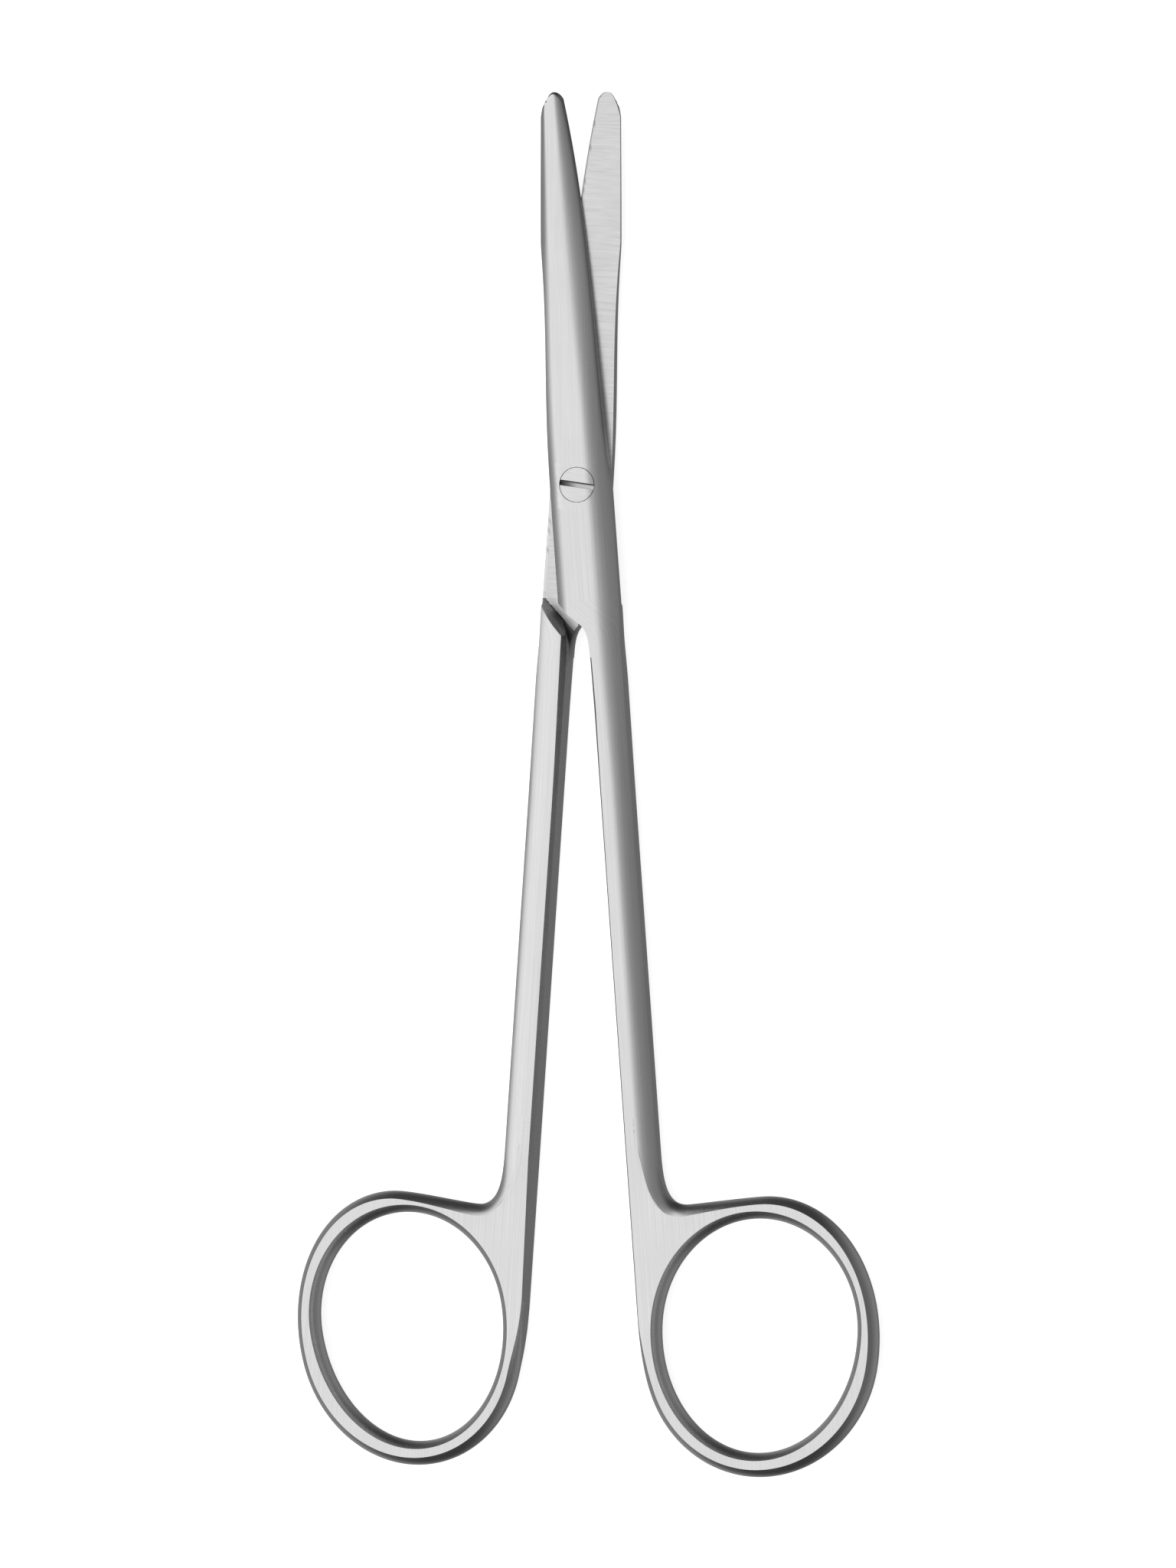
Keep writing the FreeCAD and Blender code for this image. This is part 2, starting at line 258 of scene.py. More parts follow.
# How far the outlines run on past their last section, how wide a step in them is, and a row at a corner
OUTLINE_MARGIN = 1.0
STEP_WIDTH = 1e-6
CORNER_ROW = 0.002

# Rows of points along the body: the tip's zone and count, then from and to with a step or a count
TIP_ZONE = 1.6
TIP_ROWS = 28
BLADE_ROWS = (39.0, 3.0, -0.5)
PIVOT_ROWS = (2.5, -2.5, 15)
JOINT_ROWS = (-3.0, -11.0, -0.5)
LAP_ROWS = (-11.2, -19.0, 90)
SHANK_ROWS = (-19.5, -SHANK_END, 60)

# Rounds in which the ends of the slanting faces are found
LAP_ROUNDS = 12
SHOULDER_ROUNDS = 8

# Closing a mesh: points within WELD metres become one, and open loops of up to HOLE_SIDES edges are filled
WELD = 2e-6
SMALLEST_EDGE = 5e-7
HOLE_SIDES = 12
SHARP_ANGLE = 20.0


def cubic(t, a, b, slope_a, slope_b):
    """Cubic from a to b as t goes from 0 to 1, with the slopes given at its ends."""
    from_a = (2 * t**3 - 3 * t**2 + 1) * a + (t**3 - 2 * t**2 + t) * slope_a
    return from_a + (3 * t**2 - 2 * t**3) * b + (t**3 - t**2) * slope_b


def smooth_through(at, knots, values):
    """Cubics through values at knots. A knot's slope is the mean of its two spans, or level at a turn."""
    spans = np.diff(knots)
    slopes = np.diff(values) / spans
    middle = np.where(slopes[1:] * slopes[:-1] > 0, (slopes[1:] + slopes[:-1]) / 2, 0.0)
    tangents = np.concatenate(([0.0], middle, slopes[-1:]))
    i = np.clip(np.searchsorted(knots, at, side="right") - 1, 0, len(spans) - 1)
    t = np.clip((at - knots[i]) / spans[i], 0, 1)
    return cubic(t, values[i], values[i + 1], spans[i] * tangents[i], spans[i] * tangents[i + 1])


def bezier(poles, steps):
    """Points of the Bezier curve with these poles: repeated blends of neighbours by t from 0 to 1."""
    t = np.linspace(0, 1, steps)[:, None]
    level = [np.broadcast_to(np.asarray(p, float), (steps, len(p))) for p in poles]
    while len(level) > 1:
        level = [a * (1 - t) + b * t for a, b in zip(level, level[1:])]
    return level[0]


def spline_of_two(points, start_way, end_way, steps):
    """Smooth curve through three points that leaves the first and reaches the last in the ways given.

    Each span is a cubic of the distance along its chord, and the slope at the middle point is the one for
    which the two cubics bend alike there. The ways are as long as the slopes of the parabola through the
    points.
    """
    p = np.array(points)
    chord = np.linalg.norm(np.diff(p, axis=0), axis=1)
    slope = np.diff(p, axis=0) / chord[:, None]
    bend = (slope[1] - slope[0]) / chord.sum()
    start = np.array(start_way) * np.abs(slope[0] - bend * chord[0]).sum() / np.abs(start_way).sum()
    end = np.array(end_way) * np.abs(slope[1] + bend * chord[1]).sum() / np.abs(end_way).sum()
    middle = (3 * (chord[::-1] @ slope) - chord[1] * start - chord[0] * end) / (2 * chord.sum())
    t = np.linspace(0, 1, steps)[:, None]
    first = cubic(t, p[0], p[1], chord[0] * start, chord[0] * middle)
    second = cubic(t, p[1], p[2], chord[1] * middle, chord[1] * end)
    return np.concatenate((first, second[1:]))


def between(a, b, steps):
    """Rows of steps evenly spaced values from a to b, one row for each entry of a and b."""
    t = np.linspace(0, 1, steps)
    return a[:, None] * (1 - t) + b[:, None] * t


def turned(x, y, angle):
    """The points x, y turned about the origin."""
    a = math.radians(angle)
    return x * math.cos(a) - y * math.sin(a), x * math.sin(a) + y * math.cos(a)


def lap_end_y(x, z):
    """Where the slanting end of the lap lies at a distance from the centre line and a height."""
    return -LAP_END - (JOINT_SPINE + x) * LAP_SLANT - LAP_SLOPE * z


def lap_end_x(y, z):
    """How far to the right the slanting end of the lap reaches at a place along the joint and a height."""
    return np.minimum((-LAP_END - LAP_SLOPE * z - y) / LAP_SLANT - JOINT_SPINE, -CROTCH_OFFSET)


CROTCH = np.array((-CROTCH_OFFSET, lap_end_y(-CROTCH_OFFSET, PARTING)))
TIP_LEFT = (-SPINE_AT_TIP, TIP_REACH - TIP_ROUND_SPINE)
TIP_RIGHT = (EDGE_AT_TIP, TIP_REACH - TIP_ROUND_EDGE)


def tip_curve():
    """Round of the blunt tip, from the spine over the highest point to the cutting edge."""
    top = (TIP_CENTRE, TIP_REACH)
    return spline_of_two([TIP_LEFT, top, TIP_RIGHT], TIP_WAY_SPINE, TIP_WAY_EDGE, steps=30)


TIP = tip_curve()
TIP_TOP = np.argmax(TIP[:, 1])


def spine_line():
    """Left side of the upper layer from shank to tip: crotch, spine and tip, without the lap end."""
    start = (SHANK_INNER, -CROTCH_END)
    lead = (SHANK_INNER, CROTCH_BLEND - CROTCH_END)
    crotch = bezier([start, lead, CROTCH + CROTCH_WAY, CROTCH], steps=40)
    spine = spline_of_two([(-JOINT_SPINE, 0.0), (-SPINE_AT_MIDDLE, SPINE_MIDDLE), TIP_LEFT],
                          (0.0, 1.0), TIP_WAY_SPINE, steps=60)
    below = np.array([(SHANK_INNER, -SHANK_END - OUTLINE_MARGIN)])
    corner = np.array([(-JOINT_SPINE, CROTCH[1] + STEP_WIDTH)])
    return np.concatenate((below, crotch, corner, spine, TIP[1:TIP_TOP + 1]))


def edge_line():
    """Right side from shank to tip: shank, S-curve to the joint, cutting edge and tip.

    The cutting edge is the cubic through four of its places.
    """
    ys = np.array([0.0, EDGE_MIDDLE, EDGE_LOW_TIP, TIP_RIGHT[1]])
    xs = np.array([EDGE_ROOT, EDGE_AT_MIDDLE, EDGE_AT_LOW_TIP, EDGE_AT_TIP])
    terms = np.polyfit(ys, xs, 3)
    y = np.linspace(0, TIP_RIGHT[1], EDGE_POINTS)
    edge = np.stack((np.polyval(terms, y), y), 1)
    joint = bezier([(SHANK_OUTER, -SHANK_TOP), (SHANK_OUTER, JOINT_BLEND - SHANK_TOP),
                    (JOINT_OUTER, -SHOULDER - JOINT_BLEND), (JOINT_OUTER, -SHOULDER)], steps=30)
    below = np.array([(SHANK_OUTER, -SHANK_END - OUTLINE_MARGIN)])
    return np.concatenate((below, joint, edge, TIP[TIP_TOP:][::-1][1:]))


def relief_line():
    """Left side of the lower layer under the crotch: the other half's crotch curve with its clearance."""
    side = CROTCH_OFFSET + CROTCH_CLEARANCE
    start = (SHANK_INNER, -RELIEF_END)
    lead = (SHANK_INNER, RELIEF_BLEND - RELIEF_END)
    curve = bezier([start, lead, (side - CROTCH_WAY[0], CROTCH[1] + CROTCH_WAY[1]), (side, CROTCH[1])],
                   steps=40)
    return np.concatenate((curve, [(side, CROTCH[1] + OUTLINE_MARGIN)]))


SPINE = spine_line()
EDGE = edge_line()
RELIEF = relief_line()


def crown_height(x, y):
    """Height of the crowned face: the land's height, less a round on its right and a bevel on its left.

    The round is a parabola that starts level, with its middle pole at ROUND_POLE of its width. The bevel is
    one that starts at an angle, so the land has a crisp edge there.
    """
    at = {name: smooth_through(y, CROWN.y, getattr(CROWN, name)) for name in CROWN._fields[1:]}
    reach = at["left_reach"] + at["land_left"]
    right = np.clip((x - at["land_right"]) / (at["right_reach"] - at["land_right"]), 0, 1)
    left = np.clip((at["land_left"] - x) / reach, 0, 1)
    lead = 2 * ROUND_POLE
    knee = (lead - np.sqrt(lead**2 - 4 * (lead - 1) * right)) / (2 * (lead - 1))
    drop_right = (at["top"] - at["right_wall"]) * knee**2
    drop_left = 2 * BEVEL_DROP * reach * left * (1 - left) + (at["top"] - at["left_wall"]) * left**2
    return at["top"] - drop_right - drop_left


def upper_bevel_share(y):
    """How much of the shank's narrow bevel there is at a place along it."""
    return np.clip((-CROTCH_END - y) / UPPER_BEVEL_GROWTH, 0, 1)


def tip_share(x, y):
    """How much of its height the blade keeps near the tip: a quarter round over the last TIP_OVER."""
    t = np.clip(1 - (np.interp(x, TIP[:, 0], TIP[:, 1]) - y) / TIP_OVER, 0, 1)
    return TIP_LEFT_HIGH + (1 - TIP_LEFT_HIGH) * np.sqrt(1 - t**2)


def upper_height(x, y):
    """The crowned face, with the narrow bevel along the shank's inner side, which grows from the crotch."""
    width, depth = UPPER_BEVEL
    bevel = SHANK_THICK + (x - SHANK_INNER - width * upper_bevel_share(y)) * depth / width
    crown = crown_height(x, y) * tip_share(x, y)
    return np.where(y < -CROTCH_END, np.minimum(crown, bevel), crown)


def lower_height(x, y):
    """The crowned face of the lower layer, turned down, with the wide bevel along the inner side."""
    width, depth = LOWER_BEVEL
    bevel = SHANK_THICK + (x - SHANK_INNER - width) * depth / width
    crown = crown_height(x, y)
    return -np.where(y < -LOWER_BEVEL_START, np.minimum(crown, bevel), crown)


def stations():
    """Places along the half where a section is worked out: close together at the tip and the lap."""
    tip = TIP_REACH - TIP_ZONE * np.linspace(0, 1, TIP_ROWS) ** 2
    blade = np.arange(*BLADE_ROWS)
    pivot = np.linspace(*PIVOT_ROWS)
    joint = np.arange(*JOINT_ROWS)
    lap = np.linspace(*LAP_ROWS)
    shank = np.linspace(*SHANK_ROWS)
    shoulder_corner = (JOINT_OUTER - JOINT_SPINE) * SHOULDER_SLANT - SHOULDER
    marks = np.array([-LAP_END, shoulder_corner, -SHANK_TOP, -RELIEF_END, -CROTCH_END, CROTCH[1],
                      CROTCH[1] + CORNER_ROW, lap_end_y(-CROTCH_OFFSET, 0)])
    return np.unique(np.concatenate((tip, blade, pivot, joint, lap, shank, marks)))[::-1]


Sides = namedtuple("Sides", "left left_base right right_low")


def section_sides(y):
    """Where each section ends: left, left at the inner face, right, and right of the lower layer."""
    left = np.interp(y, SPINE[:, 1], SPINE[:, 0])
    left = np.maximum(left, -smooth_through(y, CROWN.y, CROWN.left_reach))
    right = np.interp(y, EDGE[:, 1], EDGE[:, 0])
    right = np.minimum(right, smooth_through(y, CROWN.y, CROWN.right_reach))
    right = np.maximum(right, left)
    inset = SHOULDER_INSET * np.clip((INSET_START + y) / INSET_GROWTH, 0, 1)
    base_end = lap_end_x(y, 0)
    top_end = base_end
    for _ in range(LAP_ROUNDS):
        top_end = lap_end_x(y, crown_height(top_end, y))
    at_lap = (y > CROTCH[1]) & (y < -LAP_END)
    return Sides(left=np.where(at_lap, np.maximum(left, top_end), left),
                 left_base=np.where(at_lap, np.maximum(left, base_end), left),
                 right=right, right_low=np.maximum(right - inset, left))


def across_face(start, land_start, right, y):
    """Places across a crowned face in each section: from its left side over its land to its right."""
    land_start = np.clip(land_start, start, right)
    land_end = np.clip(smooth_through(y, CROWN.y, CROWN.land_right), land_start, right)
    bevel = between(start, land_start, ROLL_STEPS)
    land = between(land_start, land_end, LAND_STEPS)
    roll = between(land_end, right, ROLL_STEPS)
    return np.concatenate((bevel, land[:, 1:], roll[:, 1:]), 1)


def low_layer(y, sides, across):
    """The lower layer's samples: back along its lower face, up the shoulder's face, along the inner face.

    The shoulder's face starts at the line where it leaves the inner face. Its foot on the lower face is
    found in rounds, each with the height at the last round's foot.
    """
    shoulder = JOINT_SPINE + (y + SHOULDER) / SHOULDER_SLANT
    relief = np.interp(y, RELIEF[:, 1], RELIEF[:, 0], left=SHANK_INNER, right=-JOINT_SPINE)
    first = np.maximum(np.maximum(shoulder, relief), sides.left_base)
    first = np.minimum(first, np.maximum(sides.right_low, sides.left_base))
    foot = first
    for _ in range(SHOULDER_ROUNDS):
        fall = SHOULDER_SLOPE * (BASE + crown_height(foot, y))
        foot = JOINT_SPINE + (y + SHOULDER + fall) / SHOULDER_SLANT
    foot = np.clip(foot, first, np.maximum(sides.right_low, first))
    under = np.clip(across, foot[:, None], np.maximum(sides.right_low, foot)[:, None])[:, ::-1]
    low_x = np.concatenate((under, between(foot, first, SHOULDER_STEPS)), 1)
    low_y = np.broadcast_to(y[:, None], low_x.shape)
    depth = ((low_x - JOINT_SPINE) * SHOULDER_SLANT - SHOULDER - low_y) / SHOULDER_SLOPE
    low_z = np.where(depth > 0, np.maximum(lower_height(low_x, low_y), BASE - depth), BASE)
    inner = np.minimum(across, first[:, None])[:, ::-1]
    face = np.stack((inner, np.broadcast_to(y[:, None], inner.shape), np.full(inner.shape, BASE)), 2)
    return np.concatenate((np.stack((low_x, low_y, low_z), 2), face), 1)


def half_sections():
    """Closed section at each station, as an array (stations, samples, 3), and its sample ranges.

    The samples go along the crowned face from left to right, down the right side, and on round the lower
    layer. A sample that the outline cuts off lies on the outline, so slanting faces keep straight edges.
    """
    y = stations()
    sides = section_sides(y)
    land = smooth_through(y, CROWN.y, CROWN.land_left)
    thick = smooth_through(y, CROWN.y, CROWN.top) - SHANK_THICK
    upper_land = SHANK_INNER + UPPER_BEVEL[0] * (upper_bevel_share(y) + thick / UPPER_BEVEL[1])
    lower_land = SHANK_INNER + LOWER_BEVEL[0] * (1 + thick / LOWER_BEVEL[1])
    upper_start = np.where(y < -CROTCH_END, upper_land, land)
    lower_start = np.where(y < -LOWER_BEVEL_START, lower_land, land)
    across = across_face(sides.left, upper_start, sides.right, y)
    across_low = across_face(sides.left_base, lower_start, sides.right, y)
    along = np.broadcast_to(y[:, None], across.shape)
    crown = np.stack((across, along, np.maximum(upper_height(across, along), BASE)), 2)
    side = np.stack((sides.right, y, np.full(y.shape, BASE)), 1)[:, None, :]
    section = np.concatenate((crown, side, low_layer(y, sides, across_low)), 1)
    columns = across.shape[1]
    ranges = {"crown": (0, columns), "under": (columns + 1, 2 * columns + 1),
              "inner": (section.shape[1] - columns, section.shape[1])}
    return section, ranges


def pocket_painted_shade(x, y):
    """Painted shade on the flat inner face in the corner at the shoulder, where the lap end shades it: full
    in the pocket, less on the strip before it.
    """
    above = y + SHOULDER - (x - JOINT_SPINE) * SHOULDER_SLANT
    inward = np.clip((JOINT_SPINE - x) / STRIP_GROWTH, 0, 1)
    pocket = PAINTED_SHADE_MOST * np.clip(1 - above / POCKET_EDGE, 0, 1)
    strip = STRIP_PAINTED_SHADE * inward * np.exp(-(above / STRIP_WIDTH) ** 2)
    fade = np.clip((y + RELIEF_END) / POCKET_FADE, 0, 1)
    return np.where(y < -POCKET_START, np.maximum(pocket, strip) * fade, 0.0)


def body_painted_shade(section, ranges):
    """Painted shade of a body's samples: a painted shadow along the cutting edge, painted shade on the
    shoulder's face and in its corner.
    """
    y = section[:, :1, 1]
    right = ranges["crown"][1]
    start, end = ranges["inner"]
    from_edge = section[:, right:right + 1, 0] - section[:, :right + 1, 0]
    on_blade = np.clip(y / EDGE_SHADOW_GROWTH, 0, 1)
    fade = np.clip((y + SHOULDER_SHADE_END) / SHOULDER_SHADE_FADE, 0, 1)
    dull = np.zeros(section.shape[:2])
    # Painted shadow along the cutting edge, darkest at the edge
    dull[:, :right + 1] = on_blade * EDGE_PAINTED_SHADOW * np.clip(1 - from_edge / EDGE_SHADOW_WIDTH, 0, 1) ** 2
    # Painted shade on the shoulder's face
    dull[:, start - SHOULDER_STEPS:start] = SHOULDER_PAINTED_SHADE * fade
    dull[:, start:end] = pocket_painted_shade(section[:, start:end, 0], y)
    return dull


def grid_faces(rows, columns, offset=0, closed=False):
    """Quads (faces, 4) of a grid of points numbered row by row. A closed grid joins its two sides."""
    r = np.arange(rows - 1)[:, None]
    c = np.arange(columns if closed else columns - 1)[None, :]
    c_next = (c + 1) % columns
    corners = (r * columns + c, r * columns + c_next, (r + 1) * columns + c_next, (r + 1) * columns + c)
    return np.stack([q.ravel() for q in corners], 1) + offset


class Shell:
    """Points, faces, finish numbers, grain coordinates and painted shade of a surface, patch by patch."""

    def __init__(self):
        self.points, self.grain, self.faces, self.finish, self.dull = [], [], [], [], []
        self.count = 0

    def add(self, points, grain, finish=OUTSIDE, closed=False, keep=None, dull=None):
        """A grid patch: points (rows, columns, 3), grain (rows, columns, 2), and which quads to keep."""
        rows, columns = points.shape[:2]
        faces = grid_faces(rows, columns, self.count, closed)
        kinds = np.full(len(faces), finish) if np.isscalar(finish) else finish.ravel()
        if keep is not None:
            faces = faces[keep.ravel()]
            kinds = kinds[keep.ravel()]
        self.points.append(points.reshape(-1, 3))
        self.grain.append(grain.reshape(-1, 2))
        self.faces.append(faces)
        self.finish.append(kinds)
        self.dull.append(np.zeros(rows * columns) if dull is None else dull.ravel())
        self.count += rows * columns

    def arrays(self):
        """All patches in one: points, grain, faces, finish numbers and painted shade."""
        patches = (self.points, self.grain, self.faces, self.finish, self.dull)
        return (np.concatenate(part) for part in patches)


def bored_patch(shell, loop, radius, height, finish):
    """Flat ring of surface between a round bore and the loop of grid points round it, at its height."""
    angles = np.arctan2(loop[:, 1], loop[:, 0])
    circle = np.stack((radius * np.cos(angles), radius * np.sin(angles)), 1)
    t = np.linspace(0, 1, BORE_ROWS)[:, None, None]
    flat = circle * (1 - t) + loop[None, :, :2] * t
    points = np.concatenate((flat, height(flat[..., 0], flat[..., 1])[..., None]), 2)
    shell.add(points, flat[..., ::-1], finish, closed=True)
    return points[0]


def block_loop(grid):
    """Points round the edge of a grid block, once round."""
    return np.concatenate((grid[0, :-1], grid[:-1, -1], grid[-1, :0:-1], grid[:0:-1, 0]))


def bore_wall(shell, top, bore):
    """Wall of the bore, from the points at its top down the (radius, height) pairs below."""
    angles = np.arctan2(top[:, 1], top[:, 0])
    x, y = np.cos(angles), np.sin(angles)
    rows = [np.stack((radius * x, radius * y, np.full(x.shape, z)), 1) for radius, z in bore[1:]]
    wall = np.stack([top] + rows)
    shell.add(wall, wall[..., [2, 0]], BORE, closed=True)


def add_body(shell, bore):
    """Blade, joint and shank with their bore, which is (radius, height) pairs from the crowned face down.

    Gives back the last section's upper and lower face, from left to right, where the ring goes on.
    """
    section, ranges = half_sections()
    rows, columns = section.shape[:2]
    first_row, last_row = np.flatnonzero(np.abs(section[:, 0, 1]) <= BORE_BLOCK)[[0, -1]]
    keep = np.ones((rows - 1, columns), bool)
    finish = np.full((rows - 1, columns), OUTSIDE)
    finish[:, ranges["inner"][0]:ranges["inner"][1] - 1] = INNER_FACE
    loops = []
    for name in ("crown", "inner"):
        start, end = ranges[name]
        x = section[(first_row + last_row) // 2, start:end, 0]
        cols = np.flatnonzero(np.abs(x) <= BORE_BLOCK) + start
        keep[first_row:last_row, cols[0]:cols[-1]] = False
        loops.append(block_loop(section[first_row:last_row + 1, cols[0]:cols[-1] + 1]))
    flat = section[:, :, [0, 2]]
    steps = np.linalg.norm(np.diff(flat, axis=1, append=flat[:, :1]), axis=2)
    grain = np.stack((section[:, :, 1], np.cumsum(steps, 1) - steps), 2)
    shell.add(section, grain, finish, closed=True, keep=keep, dull=body_painted_shade(section, ranges))
    top = bored_patch(shell, loops[0], bore[0][0], crown_height, OUTSIDE)
    bored_patch(shell, loops[1], bore[-1][0], lambda x, y: np.full(x.shape, BASE), INNER_FACE)
    bore_wall(shell, top, bore)
    return section[-1, slice(*ranges["crown"])], section[-1, slice(*ranges["under"])][::-1]


def on_oval(oval, angle):
    """Points of the egg-shaped oval at angles from its right side, and the direction of travel there."""
    a = np.radians(angle)
    reach = np.where(np.sin(a) > 0, oval.top, oval.bottom)
    point = turned(oval.half_width * np.cos(a), reach * np.sin(a), -oval.lean)
    travel = turned(-oval.half_width * np.sin(a), reach * np.cos(a), -oval.lean)
    travel = np.stack(travel, -1)
    return np.stack(point, -1) + (oval.x, oval.y), travel / np.linalg.norm(travel, axis=-1, keepdims=True)


def rim_of(hole):
    """Outer oval of the ring: wider than the hole by the rim, lowered and leaning further."""
    return Oval(hole.x, hole.y - RING_DROP, hole.half_width + RIM_SIDE, hole.top + RIM_TOP + RING_DROP,
                hole.bottom + RIM_BOTTOM - RING_DROP, hole.lean + RIM_LEAN)


def ring_path(hole):
    """Outline from the shank's outer side round the ring to its inner side, and the lengths at its marks.

    The marks are the ends of its six curves: shank, fillet, shoulder of the ring, rim, web and shank.
    """
    rim = rim_of(hole)
    top, top_way = on_oval(rim, RIM_TOP_ANGLE)
    low, low_way = on_oval(rim, RIM_LOW_ANGLE)
    down = np.array([0.0, -1.0])
    notch = np.array(NOTCH)
    notch_way = np.array(NOTCH_WAY) / np.linalg.norm(NOTCH_WAY)
    fillet = np.array([SHANK_OUTER, -FILLET_START])
    web = np.array([SHANK_INNER, -WEB_LOW])
    before_notch = notch - notch_way * FILLET_REACH * NOTCH_SHARE
    pieces = [
        bezier([(SHANK_OUTER, -SHANK_END), fillet], steps=30),
        bezier([fillet, fillet + down * FILLET_REACH, before_notch, notch], steps=60),
        bezier([notch, notch + notch_way * NOTCH_LEAD, top + top_way * RIM_TOP_LEAD, top], steps=40),
        on_oval(rim, np.linspace(RIM_TOP_ANGLE, RIM_LOW_ANGLE, RIM_POINTS))[0],
        bezier([low, low - low_way * RIM_LOW_LEAD, web + down * WEB_LEAD, web], steps=60),
        bezier([web, (SHANK_INNER, -SHANK_END)], steps=60),
    ]
    line = np.concatenate([pieces[0]] + [p[1:] for p in pieces[1:]])
    lengths = np.concatenate(([0.0], np.cumsum(np.linalg.norm(np.diff(line, axis=0), axis=1))))
    marks = lengths[np.cumsum([0] + [len(p) - 1 for p in pieces])]
    even = np.linspace(0, lengths[-1], int(lengths[-1] / PATH_STEP))
    path = np.stack((np.interp(even, lengths, line[:, 0]), np.interp(even, lengths, line[:, 1])), 1)
    return path, even, marks


def mirrored(row, middle, sign):
    """A profile's upper half, its middle, and the same half backwards below it, with the sign given."""
    return np.concatenate((row, [middle], sign * row[::-1]))


def bevel_profile(size, share, face, side):
    """Insets and heights of a straight bevel, from the flat face to the side, as one row for each place."""
    t = np.linspace(0, 1, ROLL_STEPS)
    width, depth = size[0] * share, size[1] * share
    return width * (1 - t), side * (face - depth * t)


def ring_rim(path, length, marks, shank_top):
    """Rim points (places along the outline, samples, 3), from the upper face over the side to the lower.

    The profile changes along the outline from the shank's round side to the ring's barrel side and on to
    the two bevels of the shank's inner side. Each is a row of insets and heights, blended by shares.
    """
    travel = np.gradient(path, axis=0)
    travel /= np.linalg.norm(travel, axis=1, keepdims=True)
    inward = np.stack((travel[:, 1], -travel[:, 0]), 1)

    def along(values):
        return smooth_through(length, marks, np.array(values, float))[:, None]

    t = np.linspace(0, 1, ROLL_STEPS)
    barrel = (mirrored(RIM_BEVEL * (1 - t) ** 2, 0.0, 1), mirrored(RING_FACE * (1 - t), 0.0, -1))
    roll = shank_top[-ROLL_STEPS:]
    rounded = (mirrored(SHANK_OUTER - roll[:, 0], 0.0, 1), mirrored(roll[:, 2], BASE, -1))
    face = along([SHANK_THICK, SHANK_THICK, RING_FACE, RING_FACE, RING_FACE, RING_FACE, SHANK_THICK])
    to_end = BEVEL_END + path[:, 1:]
    above = bevel_profile(UPPER_BEVEL, np.clip(to_end / UPPER_BEVEL_RUN_OUT, 0, 1), face, 1)
    below = bevel_profile(LOWER_BEVEL, np.clip(to_end / LOWER_BEVEL_RUN_OUT, 0, 1), face, -1)
    zero = np.zeros(face.shape)
    bevelled = (np.concatenate((above[0], zero, below[0][:, ::-1]), 1),
                np.concatenate((above[1], zero + BASE, below[1][:, ::-1]), 1))
    as_rounded = along([1, 1, NOTCH_ROUND, 0, 0, 0, 0])
    as_barrel = along([0, 0, 1 - NOTCH_ROUND, 1, 1, 0, 0])
    as_bevelled = 1 - as_rounded - as_barrel
    inset, height = (as_rounded * a + as_barrel * b + as_bevelled * c
                     for a, b, c in zip(rounded, barrel, bevelled))
    flat = path[:, None, :] + inward[:, None, :] * inset[:, :, None]
    return np.concatenate((flat, height[:, :, None]), 2)


def ring_bore(path, length, marks, hole):
    """Wall of the finger hole (levels, places, 3), with one place for each place of the outline.

    Each lies at its outline place's bearing from the hole's middle. Along the shank the bearings would turn
    back, so there they run on to the first and last bearing. A few more places close the gap between.
    """
    bearing = np.unwrap(np.arctan2(path[:, 1] - hole.y, path[:, 0] - hole.x))
    notch, web = np.searchsorted(length, marks[[2, 5]])
    reached = np.clip(bearing, bearing[web], bearing[notch])
    share = np.interp(length, marks[[0, 2, 5, 6]], [1.0, 0.0, 0.0, 1.0])
    ends = np.radians(np.where(length < marks[2], BORE_FIRST_BEARING, BORE_LAST_BEARING))
    bearing = reached * (1 - share) + ends * share
    cap = np.full(LAND_STEPS - 2, bearing[-1])
    angles = np.degrees(np.concatenate((bearing, cap))) + hole.lean
    rows = []
    for level in np.linspace(1, -1, 2 * ROLL_STEPS):
        grow = RIM_BEVEL * level * level
        oval = Oval(hole.x, hole.y, hole.half_width + grow, hole.top + grow, hole.bottom + grow, hole.lean)
        point = on_oval(oval, angles)[0]
        rows.append(np.concatenate((point, np.full((len(point), 1), level * RING_FACE)), 1))
    return np.stack(rows)


def add_ring(shell, hole, shank_top, shank_under):
    """Ring, web and shank end: the rim along the outline, the hole's wall, and flat faces between them."""
    path, length, marks = ring_path(hole)
    rim = ring_rim(path, length, marks, shank_top)
    steps = np.linalg.norm(np.diff(rim, axis=1), axis=2)
    across = np.concatenate((np.zeros((len(rim), 1)), np.cumsum(steps, 1)), 1)
    shell.add(rim, np.stack((np.broadcast_to(length[:, None], across.shape), across), 2))
    bore = ring_bore(path, length, marks, hole)
    bore_length = np.concatenate((length, np.full(LAND_STEPS - 2, length[-1])))
    bore_grain = np.stack((np.broadcast_to(bore_length, bore.shape[:2]), bore[..., 2]), 2)
    shell.add(bore, bore_grain, closed=True)
    ways = np.linspace(0, 1, FACE_ROWS)[:, None, None]
    for column, shank, hole_row in ((0, shank_top, bore[0]), (-1, shank_under, bore[-1])):
        land = shank[ROLL_STEPS:ROLL_STEPS + LAND_STEPS - 2]
        outer = np.concatenate((rim[:, column], land))
        sheet = outer[None] * (1 - ways) + hole_row[None] * ways
        shell.add(sheet, sheet[..., [1, 0]], closed=True)


def half_shell(hole, bore):
    """One closed half in its own frame."""
    shell = Shell()
    shank_top, shank_under = add_body(shell, bore)
    add_ring(shell, hole, shank_top, shank_under)
    return shell


